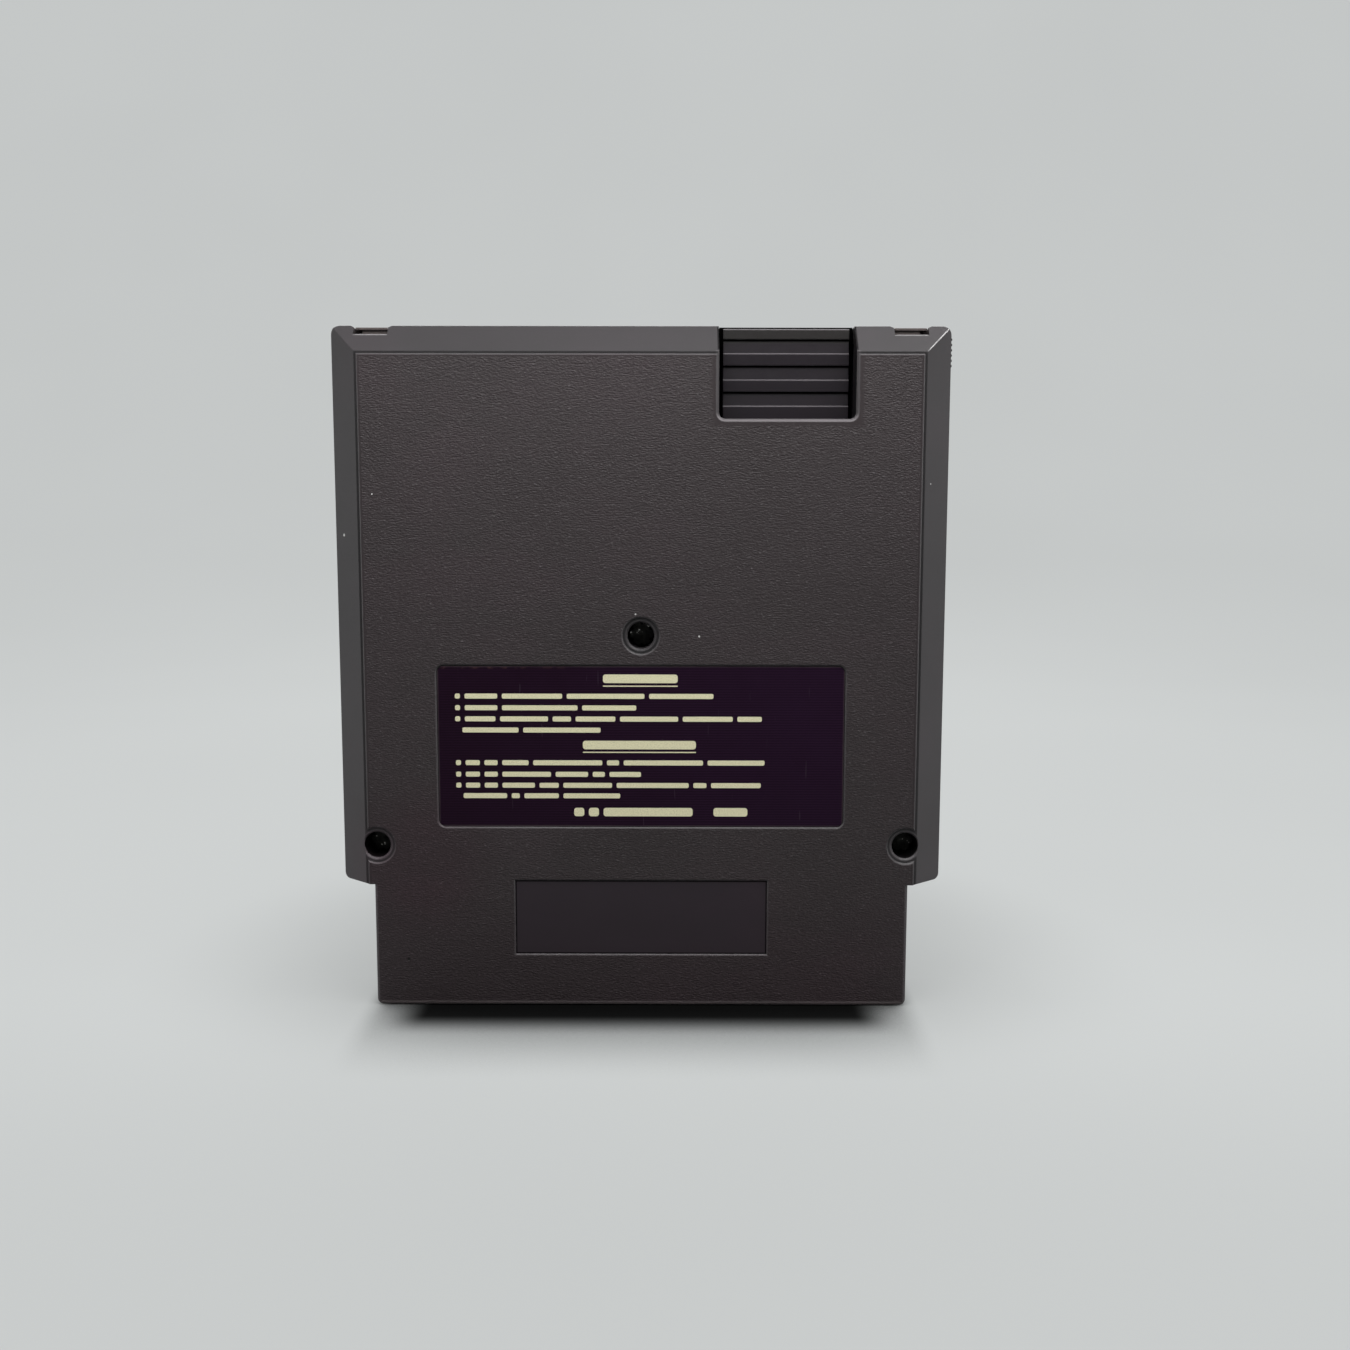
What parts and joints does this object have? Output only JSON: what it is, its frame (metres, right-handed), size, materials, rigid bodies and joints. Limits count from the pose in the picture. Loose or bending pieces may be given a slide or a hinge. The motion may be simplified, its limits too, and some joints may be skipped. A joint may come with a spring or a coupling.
{
  "type": "game cartridge",
  "caption": "Flat two-piece game cartridge with bevelled rear edges, ribbed finger grip, screw recesses, label recess and an open end over a card-edge board.",
  "frame": {"origin": "middle of the open connector end, in the plane where the two case halves meet", "axes": "+Z from the connector end up to the finger-grip end, -Y to the rear with the label and the screws, +Y to the front, +X to the right as seen from the rear"},
  "size_m": [0.1202, 0.017, 0.134],
  "materials": {
    "case_plastic": "fine-grained moulding with smooth bevels",
    "label_film": "satin printed film",
    "screw_steel": "zinc plated",
    "board_laminate": "green solder mask on glass laminate",
    "contact_gold": "thin gold plating",
    "chip_epoxy": "moulded epoxy",
    "tinned_lead": "tinned",
    "capacitor_sleeve": "shrunk sleeve",
    "bung_rubber": "matt",
    "ceramic_dip": "dipped",
    "resistor_coat": "lacquered"
  },
  "bodies": {
    "root": {"rear_shell": "case_plastic", "front_shell": "case_plastic", "rear_label": "label_film", "case_screws": "screw_steel", "circuit_board": "board_laminate", "rear_edge_contacts": "contact_gold", "front_edge_contacts": "contact_gold", "program_rom_body": "chip_epoxy", "program_rom_leads": "tinned_lead", "graphics_rom_body": "chip_epoxy", "graphics_rom_leads": "tinned_lead", "lockout_chip_body": "chip_epoxy", "lockout_chip_leads": "tinned_lead", "electrolytic_capacitor": "capacitor_sleeve", "electrolytic_bung": "bung_rubber", "electrolytic_leads": "tinned_lead", "ceramic_capacitor_bodies": "ceramic_dip", "ceramic_capacitor_leads": "tinned_lead", "resistor_bodies": "resistor_coat", "resistor_leads": "tinned_lead"}
  },
  "joints": []
}
